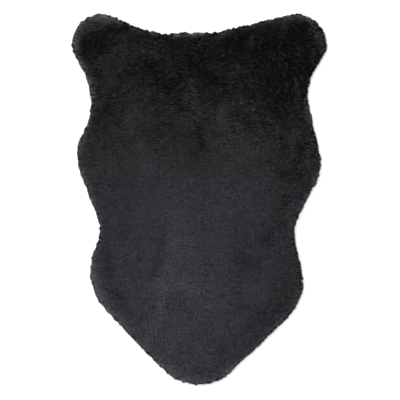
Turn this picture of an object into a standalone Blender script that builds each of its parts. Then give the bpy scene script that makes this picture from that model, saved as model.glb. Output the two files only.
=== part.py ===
"""Faux sheepskin rug: one hide-shaped cloth of short dense pile, lying flat on the floor.

Metres, +Z up. +Y points to the end with the two ears and -Y to the rounded tail. The rug's
flat back lies on z = 0, with the origin in the middle of the outline's box. The solid reaches
as far as the pile does: the backing's cut edge is hidden under the pile that leans over it.
"""

import math
from collections import namedtuple

import bmesh
import bpy
from mathutils import Vector, geometry

RUG_NAME = "pile_cloth"
COLLECTION_NAME = "faux_sheepskin_rug"

# Driving dimensions.
PILE_HEIGHT = 0.020  # from the flat back to the tips of the pile
OUTLINE_STEP = 0.0095  # between points along the outline
FIELD_STEP = 0.015  # between points on the face inside the rim

# The outline runs through lobes, which bulge outwards, and notches, which cut inwards. Each is
# a stretch of a circle, and straight stretches touch one circle and the next. The rows go
# anticlockwise seen from above; x and y give the circle's middle.
Bend = namedtuple("Bend", "name x y radius side")
LOBE = 1
NOTCH = -1
BENDS = (
    Bend("tail", -0.002, -0.298, 0.103, LOBE),
    Bend("right_haunch", 0.1065, -0.1765, 0.117, LOBE),
    Bend("right_tuck", 0.319, -0.079, 0.113, NOTCH),
    Bend("right_flank", 0.159, 0.080, 0.104, LOBE),
    Bend("right_waist", 0.345, 0.224, 0.110, NOTCH),
    Bend("right_ear", 0.211, 0.337, 0.064, LOBE),
    Bend("neck_right", 0.004, 0.556, 0.196, NOTCH),
    Bend("neck_left", -0.064, 0.556, 0.196, NOTCH),
    Bend("left_ear", -0.212, 0.338, 0.063, LOBE),
    Bend("left_waist", -0.372, 0.212, 0.138, NOTCH),
    Bend("left_flank", -0.166, 0.093, 0.098, LOBE),
    Bend("left_tuck", -0.293, -0.068, 0.078, NOTCH),
    Bend("left_haunch", -0.113, -0.156, 0.122, LOBE),
    Bend("left_hem", -0.060, -0.299, 0.062, LOBE),
)

# The rounded rim of the pile: how far each ring lies inside the outline, and how high up as a
# share of the pile's height.
RimRing = namedtuple("RimRing", "inset height")
RIM = (
    RimRing(0.0065, 0.00),
    RimRing(0.0020, 0.15),
    RimRing(0.0000, 0.38),
    RimRing(0.0018, 0.64),
    RimRing(0.0070, 0.86),
    RimRing(0.0150, 0.96),
    RimRing(0.0260, 1.00),
)

# Soft troughs where the pile lies flatter, each along a line from one end to the other.
Trough = namedtuple("Trough", "name x0 y0 x1 y1 reach depth")
TROUGHS = (
    Trough("spine", 0.002, 0.165, -0.004, 0.065, 0.014, 0.0022),
    Trough("neck_part", -0.005, 0.300, 0.012, 0.255, 0.020, 0.0020),
    Trough("left_shoulder", -0.150, 0.245, -0.095, 0.285, 0.022, 0.0022),
    Trough("right_shoulder", 0.150, 0.280, 0.200, 0.235, 0.024, 0.0024),
    Trough("left_ear_hollow", -0.235, 0.350, -0.218, 0.325, 0.018, 0.0022),
    Trough("right_flank_fold", 0.188, 0.110, 0.200, 0.050, 0.016, 0.0022),
    Trough("left_haunch_fold", -0.196, -0.085, -0.213, -0.215, 0.013, 0.0026),
    Trough("right_haunch_fold", 0.165, -0.215, 0.120, -0.270, 0.014, 0.0018),
)

PILE_COLOUR = (0.030, 0.030, 0.034, 1.0)
PILE_ROUGHNESS = 0.95


def clear_scene():
    for obj in list(bpy.data.objects):
        bpy.data.objects.remove(obj, do_unlink=True)


def make_collection():
    group = bpy.data.collections.new(COLLECTION_NAME)
    bpy.context.scene.collection.children.link(group)
    return group


def heading_between(start, end):
    """The direction of the straight stretch that leaves one circle and meets the next."""
    across = end.x - start.x
    along = end.y - start.y
    swing = end.side * end.radius - start.side * start.radius
    run = math.sqrt(across**2 + along**2 - swing**2)
    return math.atan2(along, across) - math.atan2(swing, run)


def bend_points(bend, heading_in, heading_out, step):
    """Points round one circle, from the heading that reaches it to the heading that leaves."""
    turn = (heading_out - heading_in) % math.tau
    if bend.side == NOTCH:
        turn -= math.tau
    count = max(2, math.ceil(abs(turn) * bend.radius / step))
    points = []
    for index in range(count + 1):
        heading = heading_in + turn * index / count
        reach = bend.side * bend.radius
        points.append(Vector((bend.x + reach * math.sin(heading), bend.y - reach * math.cos(heading))))
    return points


def evenly_spaced(loop, step):
    """The closed loop again, with points one step apart as nearly as a whole number allows."""
    ends = list(zip(loop, loop[1:] + loop[:1]))
    total = sum((end - start).length for start, end in ends)
    count = round(total / step)
    spacing = total / count
    points = []
    travelled = 0.0
    for start, end in ends:
        length = (end - start).length
        while len(points) < count and len(points) * spacing < travelled + length:
            share = (len(points) * spacing - travelled) / length
            points.append(start.lerp(end, share))
        travelled += length
    return points


def centred(points):
    low = Vector((min(p.x for p in points), min(p.y for p in points)))
    high = Vector((max(p.x for p in points), max(p.y for p in points)))
    middle = (low + high) / 2
    return [p - middle for p in points]


def rug_outline(step):
    """The rug's outline, anticlockwise, with its box centred on the origin."""
    headings = [heading_between(bend, BENDS[(i + 1) % len(BENDS)]) for i, bend in enumerate(BENDS)]
    loop = []
    for index, bend in enumerate(BENDS):
        loop += bend_points(bend, headings[index - 1], headings[index], step / 4)
    return centred(evenly_spaced(loop, step))


def inset(points, distance):
    """The anticlockwise loop moved inwards by a distance, square to its own direction."""
    moved = []
    for index, point in enumerate(points):
        along = points[(index + 1) % len(points)] - points[index - 1]
        inward = Vector((-along.y, along.x)).normalized()
        moved.append(point + inward * distance)
    return moved


def distance_to_line(point, start, end):
    line = end - start
    share = (point - start).dot(line) / line.length_squared
    nearest = start + line * min(max(share, 0.0), 1.0)
    return (point - nearest).length


def pile_drop(point):
    """How far the top of the pile lies under its full height at a point."""
    drop = 0.0
    for trough in TROUGHS:
        away = distance_to_line(point, Vector((trough.x0, trough.y0)), Vector((trough.x1, trough.y1)))
        drop += trough.depth * math.exp(-((away / trough.reach) ** 2))
    return drop


def ring_height(point, share):
    """The height of a rim ring: its share of the pile there, so that troughs fade at the back."""
    return (PILE_HEIGHT - pile_drop(point) * share) * share


def add_ring(bm, points, share):
    return [bm.verts.new((p.x, p.y, ring_height(p, share))) for p in points]


def bridge(bm, lower, upper):
    """A band of four-sided faces from one ring up to the next, facing outwards."""
    count = len(lower)
    for index in range(count):
        after = (index + 1) % count
        bm.faces.new((lower[index], lower[after], upper[after], upper[index]))


def field_points(rim, step):
    """Points in staggered rows that cover the face, all at least half a step inside the rim."""
    row_step = step * math.sqrt(3) / 2
    low = Vector((min(p.x for p in rim), min(p.y for p in rim)))
    high = Vector((max(p.x for p in rim), max(p.y for p in rim)))
    inner = inset(rim, step / 2)
    points = []
    for row in range(math.ceil((high.y - low.y) / row_step)):
        stagger = step / 2 * (row % 2)
        for place in range(math.ceil((high.x - low.x) / step)):
            point = Vector((low.x + stagger + place * step, low.y + row * row_step))
            if is_inside(point, inner):
                points.append(point)
    return points


def is_inside(point, loop):
    """True if a line from the point towards +X crosses the loop an odd number of times."""
    crossings = 0
    for start, end in zip(loop, loop[1:] + loop[:1]):
        if (start.y > point.y) != (end.y > point.y):
            share = (point.y - start.y) / (end.y - start.y)
            crossings += point.x < start.x + share * (end.x - start.x)
    return crossings % 2 == 1


def cover_field(bm, rim_verts):
    """The face of the pile inside the rim: an even net of triangles over its troughs."""
    rim = [Vector(vert.co.xy) for vert in rim_verts]
    points = rim + field_points(rim, FIELD_STEP)
    edges = [(i, (i + 1) % len(rim)) for i in range(len(rim))]
    inside_only = 1
    net = geometry.delaunay_2d_cdt(points, edges, [], inside_only, 1e-7)
    flat_points, triangles = net[0], net[2]
    verts = list(rim_verts)
    for point in flat_points[len(rim):]:
        verts.append(bm.verts.new((point.x, point.y, PILE_HEIGHT - pile_drop(point))))
    for triangle in triangles:
        bm.faces.new([verts[i] for i in triangle])


def make_pile_cloth(group):
    outline = rug_outline(OUTLINE_STEP)
    bm = bmesh.new()
    rings = [add_ring(bm, inset(outline, ring.inset), ring.height) for ring in RIM]
    bm.faces.new(reversed(rings[0]))
    for lower, upper in zip(rings, rings[1:]):
        bridge(bm, lower, upper)
    cover_field(bm, rings[-1])
    mesh = bpy.data.meshes.new(RUG_NAME)
    bm.to_mesh(mesh)
    bm.free()
    mesh.shade_smooth()
    mesh.set_sharp_from_angle(angle=math.radians(60))
    rug = bpy.data.objects.new(RUG_NAME, mesh)
    group.objects.link(rug)
    return rug


def make_pile_material():
    material = bpy.data.materials.new("charcoal_pile")
    material.use_nodes = True
    shader = material.node_tree.nodes["Principled BSDF"]
    shader.inputs["Base Color"].default_value = PILE_COLOUR
    shader.inputs["Roughness"].default_value = PILE_ROUGHNESS
    shader.inputs["Metallic"].default_value = 0.0
    return material


def main():
    clear_scene()
    rug = make_pile_cloth(make_collection())
    rug.data.materials.append(make_pile_material())


main()
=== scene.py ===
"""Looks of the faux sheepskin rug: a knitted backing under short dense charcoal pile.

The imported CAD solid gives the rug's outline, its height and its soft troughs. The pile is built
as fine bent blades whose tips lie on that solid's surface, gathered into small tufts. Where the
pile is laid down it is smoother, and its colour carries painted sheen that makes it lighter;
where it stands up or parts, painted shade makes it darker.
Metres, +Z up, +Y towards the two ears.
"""

import math
from collections import namedtuple

import bmesh
import bpy
import numpy as np
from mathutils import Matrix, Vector, geometry
from mathutils.bvhtree import BVHTree


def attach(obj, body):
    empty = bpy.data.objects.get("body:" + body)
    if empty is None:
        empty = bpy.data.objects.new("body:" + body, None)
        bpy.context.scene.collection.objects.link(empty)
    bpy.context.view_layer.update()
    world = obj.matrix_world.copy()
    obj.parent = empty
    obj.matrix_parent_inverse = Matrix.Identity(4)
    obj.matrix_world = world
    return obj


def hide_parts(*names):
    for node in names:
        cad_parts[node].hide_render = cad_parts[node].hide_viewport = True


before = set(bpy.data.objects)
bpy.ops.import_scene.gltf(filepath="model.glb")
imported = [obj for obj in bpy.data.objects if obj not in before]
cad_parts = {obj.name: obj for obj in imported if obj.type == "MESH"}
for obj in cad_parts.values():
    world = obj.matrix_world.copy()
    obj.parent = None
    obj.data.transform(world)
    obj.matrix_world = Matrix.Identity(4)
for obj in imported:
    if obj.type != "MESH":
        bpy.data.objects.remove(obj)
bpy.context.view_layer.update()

CAD_NODE = "pile_cloth"
BODY = "root"

# Reading the CAD solid.
WELD = 1e-5
SLICE_HEIGHT = 0.0073  # about where the rug is widest
UNDERSIDE_FACING = -0.98  # a face whose normal's z is lower belongs to the flat underside

# The backing cloth, and the dense underfur that the blades grow through.
OUTLINE_STEP = 0.006
FIELD_STEP = 0.014
NET_TOLERANCE = 1e-7
Ring = namedtuple("Ring", "inset height")
BACKING_RINGS = (
    Ring(0.0092, 0.0000),
    Ring(0.0085, 0.0005),
    Ring(0.0085, 0.0013),
    Ring(0.0092, 0.0018),
)
UNDERFUR_RINGS = (
    Ring(0.0125, 0.0020),
    Ring(0.0090, 0.0035),
    Ring(0.0078, 0.0072),
    Ring(0.0100, 0.0100),
    Ring(0.0150, 0.0117),
    Ring(0.0240, 0.0122),
)
UNDERFUR_DEPTH = 0.0078  # from the surface of the pile down to the underfur, on the flat

# The blades of the pile, in zones from the tail to the ears.
ZONES = ("pile_tail", "pile_haunches", "pile_middle", "pile_shoulders", "pile_ears")
BLADES_A_ZONE = 96000
PILE_SEED = 5
EVEN_STEPS = (0.7548776662, 0.5698402910)  # spread points evenly over a square
ROOT_DEPTH = 0.0090  # below the surface of the pile, square to it
ROOT_LOWEST = 0.0012
TIP_LOWEST = 0.0004
BLADE_WIDTH_STANDING = 0.00072
BLADE_WIDTH_LAID = 0.00059
WIDTH_SPREAD = 0.3  # how much wider or slimmer single blades are, as a share
BELLY_PLACE = 0.7  # where along its length a blade is widest
BOW = 0.0009

# How the blades lean, as tangents: each its own way, and together along the nap.
SIDE_LEAN = 0.15
NAP_LEAN_STANDING = 0.10
NAP_LEAN_LAID = 0.12
RIM_UPRIGHT = 0.8  # the share of the nap's lean that goes on the steep rim
NAP_FAN = 1.1  # how fast the nap turns outwards with x

# A kind of unevenness: how wide its patches are, how strong it is, and its own seed.
Patches = namedtuple("Patches", "width strength seed")
NAP_WANDER = (
    Patches(0.055, 0.45, 21),
    Patches(0.020, 0.30, 22),
)

# The tufts that the blades gather into, wider across the rug than along it.
TUFT_SIZE = np.array([0.0110, 0.0019, 0.0080])
TUFT_PULL = 0.80  # the share of the way to its tuft's middle that a tip is pulled
TUFT_DROP = 1.00  # how much lower a tip ends for each metre that its tuft's middle is away
TUFT_SINK = 0.0024  # how much lower some tufts end than others
TUFT_CALM = 0.99  # the share of pull, drop and sink that goes where the pile is laid smooth
TUFT_LEAN_STANDING = 0.32
TUFT_LEAN_LAID = 0.04
TIP_SCATTER = 0.0004  # how much lower some blades end than others in their tuft

# How unlike each other the tufts are in tone, and how unlike the blades.
TUFT_TONE_STANDING = 1.40
TUFT_TONE_LAID = 0.05
TUFT_TONE_RIM = 1.00
HOLLOW_LAID = 0.25  # pile that lies down less than this is in a hollow
HOLLOW_TONE = 0.35  # the share of the tufts' difference that is left in the darkest hollows
EVEN_AT_EARS = 0.60  # how even the tufts' tone gets at most by the ears; it is 1 by the tail
TONE_SWING = Patches(0.028, 0.60, 23)  # the tufts' difference is stronger in some patches
BLADE_TONE = 0.05
TONE_MARGIN = 0.02  # how far tones stay from the two ends of the range

# Each tuft draws its own luck for each of these.
MIDDLE_SALTS = (1, 2, 3)
SINK_SALT = 4
LEAN_SALTS = (5, 6)
TONE_SALT = 7
SPECK_SALT = 8

# A few tufts are parted: they end lower, and their blades get painted shade, so they show as dark
# specks.
SPECK_SHARE = 0.025
SPECK_PAINTED_SHADE = 0.30
SPECK_SINK = 0.0020

# The pile blends neutral charcoal blades with cooler ones, fewer of them by the ears.
COOL_FROM = 0.32  # y
COOL_TO = -0.06
COOL_AT_EARS = 0.15
COOL_AT_TAIL = 0.80

# The grey of the pile by how far it lies down, as painted sheen where it lies and painted shade
# where it stands, and how the cooler blades differ.
Tone = namedtuple("Tone", "laid grey")
SHEEN_AND_SHADE_GREYS = (
    Tone(0.00, 0.0012),
    Tone(0.25, 0.0100),
    Tone(0.50, 0.0398),
    Tone(0.75, 0.1070),
    Tone(1.00, 0.2030),
    Tone(1.20, 0.2800),
)
COOL_TINT = (1.02, 0.985, 1.205)

# The colour map on the blades: tone across, and from root to tip up. Neutral tones fill its left
# half and cool tones its right half.
BAKE_MAP = "OFBake"
MAP_HALF_BLADE = 0.003
MAP_ROOT = 0.01
MAP_TIP = 0.99
MAP_GAP = 0.001  # between the middle of the map and each half's tones

# Shades and greys of the materials, as (place on the ramp, value).
# Painted shade: the blades darken towards their roots, deep in the pile.
BLADE_SHADES = ((0.30, 0.2), (0.80, 0.85), (1.0, 1.0))  # from root to tip
BLADE_ROUGHNESS = ((0.0, 0.90), (1.0, 0.72))
UNDERFUR_GREYS = ((0.3, 0.011), (0.7, 0.029))
# Painted shade: the underfur is darker by the ears, as the blades' painted shade is there.
UNDERFUR_SHADES = ((0.0, 0.32), (1.0, 1.0))  # from the ears to the tail
BACKING_GREYS = ((0.3, 0.034), (0.7, 0.058))
COURSE_SHADES = ((0.0, 0.7), (1.0, 1.0))

# The rim: tips reach out unevenly there, and the steep side gets painted shade. Sloping pile also
# gets painted shade, as a share of its painted sheen.
RIM_REACH = 0.0040
RIM_SCALLOP = Patches(0.0065, 0.0024, 31)
RIM_SHADE = 0.44
SLOPE_PAINTED_SHADE = 0.17

# How far the pile lies down, from 0 where it stands to 1 where it is laid smooth and a little
# over 1 where it also shines. The same number paints sheen and shade on the blades: they are
# lighter the higher it is, and the part over 1 is a painted shine. It grows from the ears to
# the tail, and these soft places change it, each along a line with a reach.
LAID_MOST = 1.2
EARS_LAID_AND_SHEEN = 0.275
TAIL_LAID_AND_SHEEN = 0.90
LAID_AND_SHEEN_FROM = 0.315  # y
LAID_AND_SHEEN_TO = -0.025
Place = namedtuple("Place", "name x0 y0 x1 y1 reach change")
# A place with a positive change paints highlight, as on the lit ear rims and streaks, and one with a
# negative change paints shade, as in hollows and partings, along with how far the pile lies there.
PLACES = (
    # The left ear and shoulder.
    Place("left_shoulder_laid", -0.190, 0.340, -0.170, 0.250, 0.050, 0.20),
    Place("left_ear_hollow", -0.242, 0.334, -0.212, 0.340, 0.018, -0.48),
    Place("left_ear_hollow_top", -0.215, 0.362, -0.160, 0.371, 0.010, -0.26),
    Place("left_ear_side", -0.268, 0.304, -0.268, 0.345, 0.015, 0.66),
    Place("left_ear_corner", -0.258, 0.370, -0.215, 0.391, 0.021, 0.68),
    Place("left_ear_top", -0.202, 0.388, -0.175, 0.382, 0.012, 0.52),
    Place("left_side_edge", -0.250, 0.285, -0.240, 0.170, 0.014, 0.36),
    Place("left_side_light", -0.238, 0.262, -0.216, 0.208, 0.014, 0.22),
    Place("left_shoulder_light", -0.212, 0.312, -0.196, 0.262, 0.014, 0.10),
    Place("left_shoulder_top", -0.165, 0.325, -0.090, 0.314, 0.020, 0.22),
    Place("left_shoulder_hollow", -0.226, 0.172, -0.208, 0.188, 0.011, -0.22),
    Place("left_shoulder_shade", -0.188, 0.215, -0.186, 0.195, 0.018, -0.17),
    # The neck, left of the spine.
    Place("left_neck_edge", -0.148, 0.368, -0.095, 0.362, 0.012, 0.32),
    Place("mid_neck_edge", -0.054, 0.355, 0.008, 0.360, 0.009, 0.56),
    Place("left_neck_streak", -0.062, 0.292, -0.058, 0.264, 0.009, 0.16),
    Place("left_parting", -0.100, 0.290, -0.097, 0.270, 0.012, -0.32),
    Place("left_parting_bend", -0.092, 0.248, -0.068, 0.239, 0.011, -0.38),
    Place("left_parting_foot", -0.060, 0.248, -0.038, 0.258, 0.011, -0.38),
    Place("left_parting_streak", -0.116, 0.220, -0.095, 0.241, 0.006, 0.20),
    Place("neck_streak", -0.020, 0.250, -0.013, 0.220, 0.013, 0.24),
    Place("neck_hollow", -0.052, 0.210, -0.038, 0.191, 0.010, -0.26),
    # The neck, right of the spine, and the right shoulder.
    Place("neck_parting_core", 0.003, 0.318, 0.004, 0.276, 0.009, -0.24),
    Place("neck_parting_foot", 0.018, 0.270, 0.042, 0.247, 0.012, -0.25),
    Place("right_neck_edge", 0.040, 0.350, 0.070, 0.366, 0.009, 0.50),
    Place("right_neck_hollow", 0.064, 0.345, 0.092, 0.344, 0.013, -0.30),
    Place("right_neck_laid", 0.090, 0.284, 0.068, 0.262, 0.015, 0.14),
    Place("right_shoulder_fleck", 0.113, 0.336, 0.114, 0.350, 0.006, 0.50),
    Place("right_shoulder_hollow", 0.138, 0.325, 0.170, 0.322, 0.011, -0.26),
    Place("right_shoulder_shade", 0.120, 0.346, 0.190, 0.344, 0.012, -0.14),
    Place("right_shoulder_streak", 0.179, 0.312, 0.174, 0.290, 0.007, 0.22),
    # The right ear and side.
    Place("right_ear_hollow", 0.203, 0.372, 0.236, 0.364, 0.013, -0.24),
    Place("right_ear_hollow_foot", 0.196, 0.352, 0.214, 0.342, 0.014, -0.34),
    Place("right_ear_streak", 0.184, 0.376, 0.181, 0.358, 0.008, 0.36),
    Place("right_ear_fleck", 0.216, 0.328, 0.220, 0.300, 0.006, 0.34),
    Place("right_ear_fold", 0.237, 0.320, 0.232, 0.298, 0.008, -0.24),
    Place("right_ear_top", 0.156, 0.388, 0.232, 0.397, 0.013, 0.54),
    Place("right_shoulder_edge", 0.090, 0.370, 0.140, 0.386, 0.007, 0.36),
    Place("right_ear_side", 0.242, 0.390, 0.270, 0.324, 0.010, 0.40),
    Place("right_side_shade", 0.202, 0.290, 0.184, 0.208, 0.028, -0.46),
    Place("right_back_shade", 0.150, 0.256, 0.150, 0.242, 0.016, -0.22),
    Place("right_side_edge", 0.240, 0.200, 0.238, 0.175, 0.011, 0.30),
    # The back and the flanks.
    Place("back_laid", -0.130, 0.185, 0.080, 0.182, 0.042, 0.13),
    Place("right_upper_shade", 0.030, 0.322, 0.220, 0.325, 0.030, -0.11),
    Place("right_loin_shade", 0.094, -0.045, 0.086, -0.190, 0.020, -0.10),
    Place("right_flank_laid", 0.170, -0.030, 0.155, -0.060, 0.016, 0.10),
    Place("left_back_light", -0.152, 0.152, -0.142, 0.190, 0.018, 0.20),
    Place("left_back_crease", -0.100, 0.205, -0.084, 0.140, 0.010, -0.14),
    Place("left_flank_hollow", -0.212, 0.150, -0.208, 0.115, 0.012, -0.12),
    Place("left_back_patch", -0.130, 0.112, -0.114, 0.066, 0.020, 0.14),
    Place("left_flank_edge", -0.250, 0.152, -0.256, 0.110, 0.011, 0.20),
    Place("left_back_hollow", -0.064, 0.162, -0.055, 0.135, 0.011, -0.17),
    Place("spine_parting", -0.002, 0.148, 0.006, 0.114, 0.009, -0.28),
    Place("spine_shade", -0.008, 0.105, 0.004, 0.080, 0.016, -0.12),
    Place("right_back_fleck", 0.050, 0.190, 0.052, 0.156, 0.010, 0.26),
    Place("right_back_patch", 0.058, 0.135, 0.090, 0.090, 0.017, 0.13),
    Place("right_back_light", 0.034, 0.125, 0.034, 0.085, 0.012, 0.10),
    Place("right_back_laid", 0.112, 0.104, 0.150, 0.108, 0.017, 0.14),
    Place("right_back_hollow", 0.078, 0.184, 0.108, 0.163, 0.011, -0.20),
    Place("right_back_fur", 0.154, 0.170, 0.158, 0.148, 0.011, 0.12),
    Place("right_flank_light", 0.208, 0.138, 0.202, 0.112, 0.012, 0.26),
    Place("right_flank_fold", 0.216, 0.112, 0.218, 0.070, 0.009, -0.22),
    Place("right_flank_hollow", 0.186, 0.056, 0.214, 0.052, 0.015, -0.22),
    Place("right_flank_crease", 0.188, 0.000, 0.144, -0.094, 0.014, -0.16),
    Place("right_shade", 0.200, 0.110, 0.206, -0.220, 0.066, -0.22),
    Place("right_waist_edge", 0.256, 0.096, 0.218, 0.000, 0.012, -0.12),
    Place("left_flank_shade", -0.178, 0.030, -0.160, -0.070, 0.022, -0.11),
    Place("left_waist_shade", -0.225, 0.010, -0.205, -0.090, 0.022, -0.13),
    # The haunches and the tail.
    Place("streak_upper", -0.060, -0.092, -0.062, -0.172, 0.014, 0.18),
    Place("streak_middle", -0.106, -0.188, -0.072, -0.190, 0.018, 0.11),
    Place("streak_lower", -0.078, -0.192, -0.086, -0.256, 0.020, 0.19),
    Place("streak_end", -0.104, -0.288, -0.118, -0.320, 0.016, 0.17),
    Place("streak_side", -0.036, -0.180, -0.020, -0.195, 0.015, 0.22),
    Place("spine_laid", -0.060, 0.004, -0.012, -0.150, 0.024, 0.14),
    Place("streak_crease", -0.073, -0.070, -0.104, -0.175, 0.008, -0.11),
    Place("right_loin_hollow", 0.088, -0.130, 0.114, -0.138, 0.023, -0.15),
    Place("right_haunch_fold", 0.172, -0.246, 0.112, -0.262, 0.017, -0.15),
    Place("right_loin_fold", 0.105, -0.100, 0.160, -0.082, 0.014, -0.08),
    Place("right_haunch_edge", 0.217, -0.130, 0.221, -0.175, 0.010, -0.12),
    Place("right_haunch_shade", 0.085, -0.243, 0.160, -0.230, 0.015, -0.09),
    Place("left_haunch_fold", -0.201, -0.115, -0.196, -0.165, 0.011, -0.19),
    Place("left_haunch_fold_end", -0.184, -0.200, -0.154, -0.246, 0.013, -0.17),
    Place("left_haunch_side", -0.234, -0.140, -0.208, -0.218, 0.010, 0.13),
    Place("tail_left_laid", -0.040, -0.280, -0.066, -0.320, 0.022, 0.09),
    Place("tail_left_shade", -0.134, -0.300, -0.098, -0.342, 0.012, -0.12),
    Place("tail_top_laid", 0.000, -0.200, 0.015, -0.230, 0.020, 0.13),
    Place("tail_right_shade", 0.050, -0.330, 0.110, -0.290, 0.022, -0.14),
    Place("tail_right_edge", 0.085, -0.345, 0.160, -0.275, 0.015, -0.17),
    Place("tail_hollow", 0.006, -0.386, 0.040, -0.372, 0.014, -0.12),
)

# Uneven laying at several sizes: how wide the patches are and how strong, ears and tail.
Mottle = namedtuple("Mottle", "width at_ears at_tail seed")
MOTTLES = (
    Mottle(0.022, 0.05, 0.02, 12),
    Mottle(0.010, 0.12, 0.04, 13),
)

# Hashing constants: whole numbers that spread the bits of the tufts' own numbers.
CELL_PRIMES = (73856093, 19349663, 83492791)
SALT_PRIME = 2654435761
MIXERS = ((13, 1274126177), (16, 2246822519))  # shift and factor
LAST_SHIFT = 15

# Smooth noise: the side of its lattice of random values, and how far each seed turns it.
NOISE_LATTICE = 97
NOISE_TURN = math.radians(37.0)

# Studio: a pale floor, an even sky and one large soft light from the upper left.
FLOOR_SIDE = 12.0
FLOOR_GREY = 0.90
SKY_STRENGTH = 1.4
SOFTBOX_SIDES = (2.0, 1.6)
SOFTBOX_PLACE = (-2.0, 1.8, 2.6)
SOFTBOX_WATTS = 140.0

# Camera: straight above, with the frame a little longer than the rug.
FRAME_SIDE = 0.868
FRAME_MIDDLE = (0.0014, -0.0017)
CAMERA_HEIGHT = 3.4
SENSOR = 36.0


# ---------------------------------------------------------------- numbers and noise


def smooth_step(value, low, high):
    """0 at low and below, 1 at high and above, and smooth between; low may be over high."""
    share = np.clip((value - low) / (high - low), 0.0, 1.0)
    return share * share * (3.0 - 2.0 * share)


def soft_noise(x, y, width, seed):
    """Smooth random values from -1 to 1, in patches about one width across."""
    side = NOISE_LATTICE
    lattice = np.random.default_rng(seed).uniform(-1.0, 1.0, (side, side))
    turn = seed * NOISE_TURN
    along = (x * math.cos(turn) + y * math.sin(turn)) / width
    across = (y * math.cos(turn) - x * math.sin(turn)) / width
    i = np.floor(along).astype(int)
    j = np.floor(across).astype(int)
    u = smooth_step(along - i, 0.0, 1.0)
    v = smooth_step(across - j, 0.0, 1.0)
    low = lattice[i % side, j % side] * (1 - u) + lattice[(i + 1) % side, j % side] * u
    above = (j + 1) % side
    high = lattice[i % side, above] * (1 - u) + lattice[(i + 1) % side, above] * u
    return low * (1 - v) + high * v


def unevenness(x, y, patches):
    """Smooth random values around 0 of one kind of unevenness, as strong as it is."""
    return patches.strength * soft_noise(x, y, patches.width, patches.seed)


def cell_luck(cells, salt):
    """One repeatable random number from 0 to 1 for each row of whole numbers."""
    mixed = np.full(len(cells), salt * SALT_PRIME)
    for column, prime in enumerate(CELL_PRIMES):
        mixed = mixed ^ (cells[:, column] * prime)
    for shift, factor in MIXERS:
        mixed = ((mixed ^ (mixed >> shift)) * factor) & 0xFFFFFFFF
    return ((mixed ^ (mixed >> LAST_SHIFT)) & 0xFFFFFF) / float(0x1000000)


def unit(vectors):
    """Each row made one long."""
    return vectors / np.maximum(np.linalg.norm(vectors, axis=1), 1e-12)[:, None]


def line_distance(x, y, place):
    """How far each point lies from the line of a soft place."""
    dx = place.x1 - place.x0
    dy = place.y1 - place.y0
    share = ((x - place.x0) * dx + (y - place.y0) * dy) / (dx * dx + dy * dy)
    share = np.clip(share, 0.0, 1.0)
    return np.hypot(x - place.x0 - share * dx, y - place.y0 - share * dy)


def laid_and_sheen_at(x, y):
    """How far the pile lies down at each point, from 0 to LAID_MOST; it also sets the blades'
    painted sheen and shade.
    """
    along = smooth_step(y, LAID_AND_SHEEN_FROM, LAID_AND_SHEEN_TO)
    laid = EARS_LAID_AND_SHEEN + (TAIL_LAID_AND_SHEEN - EARS_LAID_AND_SHEEN) * along
    for place in PLACES:
        laid = laid + place.change * np.exp(-((line_distance(x, y, place) / place.reach) ** 2))
    for mottle in MOTTLES:
        strength = mottle.at_ears + (mottle.at_tail - mottle.at_ears) * along
        laid = laid + strength * soft_noise(x, y, mottle.width, mottle.seed)
    return np.clip(laid, 0.0, LAID_MOST)


# ---------------------------------------------------------------- the CAD solid's shape


def cad_solid():
    """The CAD solid's mesh, welded, as a bmesh."""
    bm = bmesh.new()
    bm.from_mesh(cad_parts[CAD_NODE].data)
    bmesh.ops.remove_doubles(bm, verts=bm.verts, dist=WELD)
    bmesh.ops.triangulate(bm, faces=bm.faces)
    return bm


def walk_loop(edges):
    """The points of a closed loop of edges, in order."""
    edge = edges[0]
    vert = edge.verts[0]
    points = []
    for _ in edges:
        points.append(Vector(vert.co.xy))
        vert = edge.other_vert(vert)
        edge = next(e for e in vert.link_edges if e != edge)
    return points


def widest_outline(solid, step):
    """The rug's outline at its widest height, anticlockwise, in even steps."""
    bm = solid.copy()
    cut = bmesh.ops.bisect_plane(
        bm,
        geom=bm.verts[:] + bm.edges[:] + bm.faces[:],
        plane_co=(0.0, 0.0, SLICE_HEIGHT),
        plane_no=(0.0, 0.0, 1.0),
        clear_outer=True,
        clear_inner=True,
    )
    loop = np.array(walk_loop([e for e in cut["geom_cut"] if isinstance(e, bmesh.types.BMEdge)]))
    bm.free()
    after = np.roll(loop, -1, axis=0)
    if np.sum(loop[:, 0] * after[:, 1] - after[:, 0] * loop[:, 1]) < 0:
        loop = loop[::-1]
    closed = np.vstack([loop, loop[:1]])
    travelled = np.r_[0.0, np.cumsum(np.linalg.norm(np.diff(closed, axis=0), axis=1))]
    marks = np.linspace(0.0, travelled[-1], round(travelled[-1] / step), endpoint=False)
    x = np.interp(marks, travelled, closed[:, 0])
    y = np.interp(marks, travelled, closed[:, 1])
    return [Vector(point) for point in zip(x, y)]


def pile_surface(solid):
    """Points, triangles, smooth normals and areas of the solid without its flat underside."""
    solid.verts.index_update()
    points = np.array([v.co for v in solid.verts])
    faces = [f for f in solid.faces if f.normal.z > UNDERSIDE_FACING]
    triangles = np.array([[v.index for v in f.verts] for f in faces])
    corners = points[triangles]
    square = np.cross(corners[:, 1] - corners[:, 0], corners[:, 2] - corners[:, 0])
    normals = np.zeros_like(points)
    for corner in range(3):
        np.add.at(normals, triangles[:, corner], square)
    return points, triangles, unit(normals), np.linalg.norm(square, axis=1) / 2


# ---------------------------------------------------------------- backing and underfur


def inset(points, distance):
    """The anticlockwise loop moved inwards by a distance, square to its own direction."""
    moved = []
    for index, point in enumerate(points):
        along = points[(index + 1) % len(points)] - points[index - 1]
        moved.append(point + Vector((-along.y, along.x)).normalized() * distance)
    return moved


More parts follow.
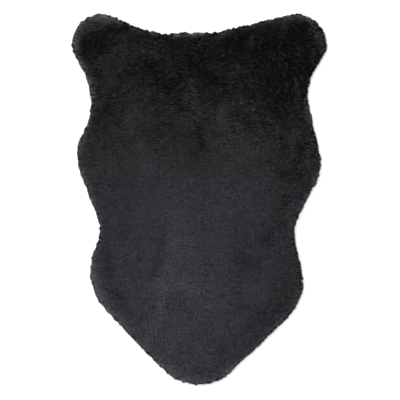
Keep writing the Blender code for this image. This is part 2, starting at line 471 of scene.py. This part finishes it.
def inside(points, loop):
    """For each point, whether it lies inside the closed loop."""
    crossings = np.zeros(len(points), int)
    for start, end in zip(loop, loop[1:] + loop[:1]):
        spans = (start.y > points[:, 1]) != (end.y > points[:, 1])
        rise = end.y - start.y if end.y != start.y else 1.0
        x = start.x + (points[:, 1] - start.y) / rise * (end.x - start.x)
        crossings += spans & (points[:, 0] < x)
    return crossings % 2 == 1


def staggered_points(rim, step):
    """Points in staggered rows, half a step or more inside the rim."""
    corners = np.array(rim)
    low = corners.min(0)
    high = corners.max(0)
    rows = np.arange(low[1], high[1], step * math.sqrt(3) / 2)
    places = np.arange(low[0], high[0], step)
    x = places[None, :] + (np.arange(len(rows)) % 2)[:, None] * step / 2
    y = np.repeat(rows[:, None], len(places), axis=1)
    points = np.stack([x.ravel(), y.ravel()], axis=1)
    return [Vector(p) for p in points[inside(points, inset(rim, step / 2))]]


def add_ring(bm, points, height):
    """A ring of points at one height."""
    return [bm.verts.new((p.x, p.y, height)) for p in points]


def bridge(bm, lower, upper):
    """A band of four-sided faces from one ring up to the next, facing outwards."""
    for index in range(len(lower)):
        after = (index + 1) % len(lower)
        bm.faces.new((lower[index], lower[after], upper[after], upper[index]))


def cover(bm, rim_verts, height_of, upwards):
    """An even net of triangles inside a ring, with each point at its own height."""
    rim = [Vector(v.co.xy) for v in rim_verts]
    points = rim + staggered_points(rim, FIELD_STEP)
    edges = [(i, (i + 1) % len(rim)) for i in range(len(rim))]
    net = geometry.delaunay_2d_cdt(points, edges, [], 1, NET_TOLERANCE)
    verts = list(rim_verts)
    for point in net[0][len(rim):]:
        verts.append(bm.verts.new((point.x, point.y, height_of(point))))
    for triangle in net[2]:
        corners = [verts[i] for i in triangle]
        bm.faces.new(corners if upwards else corners[::-1])


def finish_mesh(bm, name, material):
    """A smooth piece of one material, made from the bmesh."""
    mesh = bpy.data.meshes.new(name)
    bm.to_mesh(mesh)
    bm.free()
    mesh.shade_smooth()
    mesh.materials.append(material)
    piece = bpy.data.objects.new(name, mesh)
    bpy.context.scene.collection.objects.link(piece)
    return piece


def make_backing(outline, material):
    """The knitted cloth that the pile grows from: a thin flat sheet in the rug's outline."""
    bm = bmesh.new()
    rings = [add_ring(bm, inset(outline, ring.inset), ring.height) for ring in BACKING_RINGS]
    cover(bm, rings[0], lambda point: BACKING_RINGS[0].height, upwards=False)
    for lower, upper in zip(rings, rings[1:]):
        bridge(bm, lower, upper)
    cover(bm, rings[-1], lambda point: BACKING_RINGS[-1].height, upwards=True)
    return finish_mesh(bm, "backing", material)


def make_underfur(outline, solid, material):
    """The dense short fur between the blades, a soft body that follows the troughs."""
    tree = BVHTree.FromBMesh(solid)
    above = 1.0

    def height_of(point):
        hit = tree.ray_cast(Vector((point.x, point.y, above)), Vector((0.0, 0.0, -1.0)))[0]
        return hit.z - UNDERFUR_DEPTH

    bm = bmesh.new()
    rings = [add_ring(bm, inset(outline, ring.inset), ring.height) for ring in UNDERFUR_RINGS]
    cover(bm, rings[0], lambda point: UNDERFUR_RINGS[0].height, upwards=False)
    for lower, upper in zip(rings, rings[1:]):
        bridge(bm, lower, upper)
    cover(bm, rings[-1], height_of, upwards=True)
    return finish_mesh(bm, "underfur", material)


# ---------------------------------------------------------------- pile


def spread_over(surface, count):
    """Places spread evenly over the surface, with the surface's normal at each."""
    points, triangles, normals, areas = surface
    ends = np.cumsum(areas)
    which = np.searchsorted(ends, (np.arange(count) + 0.5) / count * ends[-1])
    index = np.arange(count)
    u = index * EVEN_STEPS[0] % 1.0
    v = index * EVEN_STEPS[1] % 1.0
    over = u + v > 1.0
    u = np.where(over, 1.0 - u, u)
    v = np.where(over, 1.0 - v, v)
    shares = np.stack([1.0 - u - v, u, v], axis=1)[:, :, None]
    places = (points[triangles[which]] * shares).sum(axis=1)
    facing = unit((normals[triangles[which]] * shares).sum(axis=1))
    return places, facing


def nearest_tuft(places):
    """The middle of the tuft that each place belongs to, and that tuft's own whole numbers."""
    scaled = places / TUFT_SIZE
    home = np.floor(scaled).astype(np.int64)
    nearest = np.full(len(places), np.inf)
    middle = np.zeros_like(places)
    tuft = np.zeros_like(home)
    for step in np.ndindex(3, 3, 3):
        cell = home + np.array(step) - 1
        point = cell + np.stack([cell_luck(cell, salt) for salt in MIDDLE_SALTS], axis=1)
        away = ((point - scaled) ** 2).sum(axis=1)
        closer = away < nearest
        nearest[closer] = away[closer]
        middle[closer] = point[closer]
        tuft[closer] = cell[closer]
    return middle * TUFT_SIZE, tuft


def nap_at(x, y):
    """The level direction that the pile is stroked in: towards the tail, fanning to the sides."""
    sideways = NAP_FAN * x + sum(unevenness(x, y, patches) for patches in NAP_WANDER)
    return unit(np.stack([sideways, -np.ones_like(x), np.zeros_like(x)], axis=1))


def along_surface(vectors, facing):
    """The vectors without the part that is square to the surface."""
    return vectors - facing * (vectors * facing).sum(axis=1)[:, None]


def is_parted(tuft):
    """For each tuft, whether it is one of the few that are parted."""
    return cell_luck(tuft, SPECK_SALT) < SPECK_SHARE


def shape_blades(rng, places, facing, laid):
    """Four points for each blade (root, left, right and tip), and the tuft that it belongs to."""
    count = len(places)
    x, y = places[:, 0], places[:, 1]
    rim = np.clip(1.0 - facing[:, 2], 0.0, 1.0)
    middle, tuft = nearest_tuft(places)

    open_share = 1.0 - TUFT_CALM * laid
    to_middle = along_surface(middle - places, facing)
    drop = TUFT_DROP * np.linalg.norm(to_middle, axis=1) + TUFT_SINK * cell_luck(tuft, SINK_SALT)
    drop = drop * open_share + TIP_SCATTER * rng.random(count) + SPECK_SINK * is_parted(tuft)
    outwards = unit(facing * np.array([1.0, 1.0, 0.0]))
    reach = rim * (RIM_REACH + unevenness(x, y, RIM_SCALLOP))
    gathered = to_middle * (TUFT_PULL * open_share)[:, None]
    tips = places + gathered - facing * drop[:, None] + outwards * reach[:, None]

    nap_lean = NAP_LEAN_STANDING + (NAP_LEAN_LAID - NAP_LEAN_STANDING) * laid
    nap_lean = nap_lean * (1.0 - RIM_UPRIGHT * rim)
    tuft_ways = [cell_luck(tuft, salt) * 2 - 1 for salt in LEAN_SALTS]
    tuft_lean = TUFT_LEAN_STANDING + (TUFT_LEAN_LAID - TUFT_LEAN_STANDING) * laid
    shared = np.stack([*tuft_ways, np.zeros(count)], axis=1) * tuft_lean[:, None]
    loose = rng.normal(0.0, SIDE_LEAN, (count, 3)) + shared
    pull = along_surface(nap_at(x, y) * nap_lean[:, None] + loose, facing)
    roots = places - (facing + pull) * ROOT_DEPTH
    roots[:, 2] = np.maximum(roots[:, 2], ROOT_LOWEST)
    tips[:, 2] = np.maximum(tips[:, 2], TIP_LOWEST)

    axis = tips - roots
    bellies = roots + axis * BELLY_PLACE + facing * BOW
    side = unit(np.cross(axis, rng.normal(0.0, 1.0, (count, 3))))
    width = BLADE_WIDTH_STANDING + (BLADE_WIDTH_LAID - BLADE_WIDTH_STANDING) * laid
    width = width * rng.uniform(1.0 - WIDTH_SPREAD, 1.0 + WIDTH_SPREAD, count)
    half = side * (width / 2)[:, None]
    return np.stack([roots, bellies - half, bellies + half, tips], axis=1), tuft


def tone_blades(rng, places, facing, light, tuft):
    """Each blade's place across the colour map, where neutral tones come before cool ones."""
    count = len(places)
    x, y = places[:, 0], places[:, 1]
    laid = np.minimum(light, 1.0)
    rim = np.clip(1.0 - facing[:, 2], 0.0, 1.0)
    slope = np.hypot(facing[:, 0], facing[:, 1])

    most_even = EVEN_AT_EARS + (1.0 - EVEN_AT_EARS) * smooth_step(y, LAID_AND_SHEEN_FROM, LAID_AND_SHEEN_TO)
    rough = 1.0 - np.minimum(laid, most_even)
    uneven = TUFT_TONE_LAID + (TUFT_TONE_STANDING - TUFT_TONE_LAID) * rough ** 2
    uneven = uneven * (HOLLOW_TONE + (1.0 - HOLLOW_TONE) * smooth_step(laid, 0.0, HOLLOW_LAID))
    uneven = uneven * (1.0 + unevenness(x, y, TONE_SWING))
    uneven = uneven + TUFT_TONE_RIM * slope ** 2

    luck = np.sqrt(cell_luck(tuft, TONE_SALT)) - 2 / 3  # 0 on average, with more light tufts
    # Painted sheen and shade: lighter the further the pile lies, with less of it on sloping pile.
    tone = light * (1.0 - SLOPE_PAINTED_SHADE * slope) + uneven * luck
    # Painted shade on parted tufts and on the steep rim.
    tone = tone - SPECK_PAINTED_SHADE * is_parted(tuft) - RIM_SHADE * rim ** 2
    tone = tone + rng.normal(0.0, BLADE_TONE, count)
    tone = np.clip(tone, TONE_MARGIN, LAID_MOST - TONE_MARGIN)
    cool_share = COOL_AT_EARS + (COOL_AT_TAIL - COOL_AT_EARS) * smooth_step(y, COOL_FROM, COOL_TO)
    cool = rng.random(count) < cool_share
    return (tone / LAID_MOST + cool) / 2


def grow_pile(surface, count):
    """Every blade's four points, its place across the colour map, and its y."""
    rng = np.random.default_rng(PILE_SEED)
    places, facing = spread_over(surface, count)
    # light is how far the pile lies, and also the blades' painted sheen and shade.
    light = laid_and_sheen_at(places[:, 0], places[:, 1])  # over 1 where the laid pile also shines
    blades, tuft = shape_blades(rng, places, facing, np.minimum(light, 1.0))
    tone = tone_blades(rng, places, facing, light, tuft)
    return blades, tone, places[:, 1]


def make_zone(name, blades, tone, material):
    """One joined mesh of blades, with the colour map on them."""
    count = len(blades)
    mesh = bpy.data.meshes.new(name)
    mesh.vertices.add(count * 4)
    mesh.vertices.foreach_set("co", blades.astype(np.float32).ravel())
    root, left, right, tip = 0, 1, 2, 3
    two_triangles = np.array([root, right, left, left, right, tip])
    corners = (np.arange(count)[:, None] * 4 + two_triangles).ravel()
    mesh.loops.add(len(corners))
    mesh.loops.foreach_set("vertex_index", corners.astype(np.int32))
    mesh.polygons.add(count * 2)
    mesh.polygons.foreach_set("loop_start", np.arange(0, len(corners), 3, dtype=np.int32))
    mesh.update(calc_edges=True)
    mesh.shade_smooth()
    half = MAP_HALF_BLADE
    across = np.stack([tone, tone + half, tone - half, tone - half, tone + half, tone], axis=1)
    up = np.tile([MAP_ROOT, BELLY_PLACE, BELLY_PLACE, BELLY_PLACE, BELLY_PLACE, MAP_TIP], (count, 1))
    layer = mesh.uv_layers.new(name=BAKE_MAP)
    layer.uv.foreach_set("vector", np.stack([across, up], axis=2).astype(np.float32).ravel())
    mesh.materials.append(material)
    piece = bpy.data.objects.new(name, mesh)
    bpy.context.scene.collection.objects.link(piece)
    return piece


def make_pile(surface, material):
    """The blades in zones of equal count, from the tail to the ears."""
    blades, tone, y = grow_pile(surface, BLADES_A_ZONE * len(ZONES))
    order = np.argsort(y, kind="stable").reshape(len(ZONES), BLADES_A_ZONE)
    return [make_zone(name, blades[rows], tone[rows], material) for name, rows in zip(ZONES, order)]


# ---------------------------------------------------------------- materials


def new_material(name, roughness, specular, sheen):
    """A material, its node tree and its Principled shader."""
    material = bpy.data.materials.new(name)
    material.use_nodes = True
    shader = material.node_tree.nodes["Principled BSDF"]
    shader.inputs["Roughness"].default_value = roughness
    shader.inputs["Specular IOR Level"].default_value = specular
    shader.inputs["Sheen Weight"].default_value = sheen
    shader.inputs["Sheen Roughness"].default_value = 0.5
    return material, material.node_tree, shader


def ramp(tree, source, stops):
    """A colour ramp fed by a number; stops are (position, grey or colour)."""
    node = tree.nodes.new("ShaderNodeValToRGB")
    elements = node.color_ramp.elements
    while len(elements) < len(stops):
        elements.new(0.5)
    for element, (position, colour) in zip(elements, stops):
        red_green_blue = colour if isinstance(colour, tuple) else (colour, colour, colour)
        element.position = position
        element.color = (*red_green_blue, 1.0)
    tree.links.new(source, node.inputs["Fac"])
    return node.outputs["Color"]


def multiply(tree, first, second):
    """The product of two colours."""
    node = tree.nodes.new("ShaderNodeMix")
    node.data_type = "RGBA"
    node.blend_type = "MULTIPLY"
    node.inputs["Factor"].default_value = 1.0
    tree.links.new(first, node.inputs["A"])
    tree.links.new(second, node.inputs["B"])
    return node.outputs["Result"]


def noise(tree, scale, detail):
    """Cloudy noise over the piece's own coordinates."""
    place = tree.nodes.new("ShaderNodeTexCoord")
    node = tree.nodes.new("ShaderNodeTexNoise")
    node.inputs["Scale"].default_value = scale
    node.inputs["Detail"].default_value = detail
    tree.links.new(place.outputs["Object"], node.inputs["Vector"])
    return node.outputs["Fac"]


def bump(tree, shader, source, distance, strength):
    """Fine relief from a height."""
    node = tree.nodes.new("ShaderNodeBump")
    node.inputs["Distance"].default_value = distance
    node.inputs["Strength"].default_value = strength
    tree.links.new(source, node.inputs["Height"])
    tree.links.new(node.outputs["Normal"], shader.inputs["Normal"])


def pile_material():
    """Charcoal polyester pile: neutral black where it stands, cooler grey where it is laid; the
    lightness is painted sheen and shade.
    """
    material, tree, shader = new_material(
        "charcoal_pile", roughness=0.75, specular=0.05, sheen=0.006
    )
    where = tree.nodes.new("ShaderNodeUVMap")
    where.uv_map = BAKE_MAP
    parts = tree.nodes.new("ShaderNodeSeparateXYZ")
    tree.links.new(where.outputs["UV"], parts.inputs["Vector"])
    map_half = 0.5 - MAP_GAP
    stops = []
    for first, tint in ((0.0, (1.0, 1.0, 1.0)), (0.5 + MAP_GAP, COOL_TINT)):
        for tone in SHEEN_AND_SHADE_GREYS:
            colour = tuple(tone.grey * share for share in tint)
            stops.append((first + tone.laid * map_half / LAID_MOST, colour))
    colour = ramp(tree, parts.outputs["X"], stops)
    shade = ramp(tree, parts.outputs["Y"], BLADE_SHADES)
    tree.links.new(multiply(tree, colour, shade), shader.inputs["Base Color"])
    roughness = ramp(tree, parts.outputs["Y"], BLADE_ROUGHNESS)
    tree.links.new(roughness, shader.inputs["Roughness"])
    crimp = tree.nodes.new("ShaderNodeTexWave")
    crimp.bands_direction = "Y"
    crimp.inputs["Scale"].default_value = 3.0
    tree.links.new(where.outputs["UV"], crimp.inputs["Vector"])
    bump(tree, shader, crimp.outputs["Fac"], distance=0.0001, strength=0.4)
    return material


def underfur_material():
    """The same charcoal in the depth of the pile, with painted shade that makes it darker by the
    ears, like the blades above it.
    """
    material, tree, shader = new_material(
        "charcoal_underfur", roughness=0.95, specular=0.1, sheen=0.1
    )
    place = tree.nodes.new("ShaderNodeTexCoord")
    parts = tree.nodes.new("ShaderNodeSeparateXYZ")
    tree.links.new(place.outputs["Object"], parts.inputs["Vector"])
    towards_tail = tree.nodes.new("ShaderNodeMapRange")
    towards_tail.inputs["From Min"].default_value = LAID_AND_SHEEN_FROM
    towards_tail.inputs["From Max"].default_value = LAID_AND_SHEEN_TO
    tree.links.new(parts.outputs["Y"], towards_tail.inputs["Value"])
    shade = ramp(tree, towards_tail.outputs["Result"], UNDERFUR_SHADES)
    grey = ramp(tree, noise(tree, scale=260.0, detail=4.0), UNDERFUR_GREYS)
    tree.links.new(multiply(tree, grey, shade), shader.inputs["Base Color"])
    curls = noise(tree, scale=420.0, detail=5.0)
    bump(tree, shader, curls, distance=0.002, strength=0.9)
    return material


def backing_material():
    """Plain knitted back: fine courses across the cloth, a little uneven in tone."""
    material, tree, shader = new_material(
        "knitted_backing", roughness=0.9, specular=0.2, sheen=0.2
    )
    place = tree.nodes.new("ShaderNodeTexCoord")
    courses = tree.nodes.new("ShaderNodeTexWave")
    courses.bands_direction = "Y"
    courses.inputs["Scale"].default_value = 110.0
    courses.inputs["Distortion"].default_value = 1.2
    courses.inputs["Detail"].default_value = 2.0
    tree.links.new(place.outputs["Object"], courses.inputs["Vector"])
    grey = ramp(tree, noise(tree, scale=30.0, detail=5.0), BACKING_GREYS)
    shade = ramp(tree, courses.outputs["Fac"], COURSE_SHADES)
    tree.links.new(multiply(tree, grey, shade), shader.inputs["Base Color"])
    bump(tree, shader, courses.outputs["Fac"], distance=0.0006, strength=0.6)
    return material


# ---------------------------------------------------------------- studio


def make_floor():
    """A plain pale floor under the rug."""
    material, _, shader = new_material("floor", roughness=0.9, specular=0.0, sheen=0.0)
    shader.inputs["Base Color"].default_value = (FLOOR_GREY, FLOOR_GREY, FLOOR_GREY, 1.0)
    bpy.ops.mesh.primitive_plane_add(size=FLOOR_SIDE, location=(0.0, 0.0, 0.0))
    floor = bpy.context.object
    floor.name = "floor"
    floor.data.materials.append(material)


def make_lights():
    """An even white sky, and one large soft light turned to the rug's middle."""
    world = bpy.data.worlds.new("studio")
    world.use_nodes = True
    sky = world.node_tree.nodes["Background"]
    sky.inputs["Color"].default_value = (1.0, 1.0, 1.0, 1.0)
    sky.inputs["Strength"].default_value = SKY_STRENGTH
    bpy.context.scene.world = world
    light = bpy.data.lights.new("softbox", "AREA")
    light.shape = "RECTANGLE"
    light.size, light.size_y = SOFTBOX_SIDES
    light.energy = SOFTBOX_WATTS
    lamp = bpy.data.objects.new("softbox", light)
    lamp.location = SOFTBOX_PLACE
    lamp.rotation_euler = (-lamp.location).to_track_quat("-Z", "Y").to_euler()
    bpy.context.scene.collection.objects.link(lamp)


def make_camera():
    """The photograph's view, straight down."""
    lens = bpy.data.cameras.new("camera")
    lens.sensor_width = SENSOR
    lens.lens = SENSOR * (CAMERA_HEIGHT - SLICE_HEIGHT) / FRAME_SIDE
    camera = bpy.data.objects.new("camera", lens)
    camera.location = (*FRAME_MIDDLE, CAMERA_HEIGHT)
    bpy.context.scene.collection.objects.link(camera)
    bpy.context.scene.camera = camera
    bpy.context.scene.view_settings.view_transform = "Standard"


# ---------------------------------------------------------------- the rug


def main():
    solid = cad_solid()
    outline = widest_outline(solid, OUTLINE_STEP)
    backing = make_backing(outline, backing_material())
    underfur = make_underfur(outline, solid, underfur_material())
    pile = make_pile(pile_surface(solid), pile_material())
    solid.free()
    for piece in (backing, underfur, *pile):
        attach(piece, BODY)
        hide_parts(CAD_NODE)
    cut = inset(outline, BACKING_RINGS[1].inset)
    make_floor()
    make_lights()
    make_camera()


main()
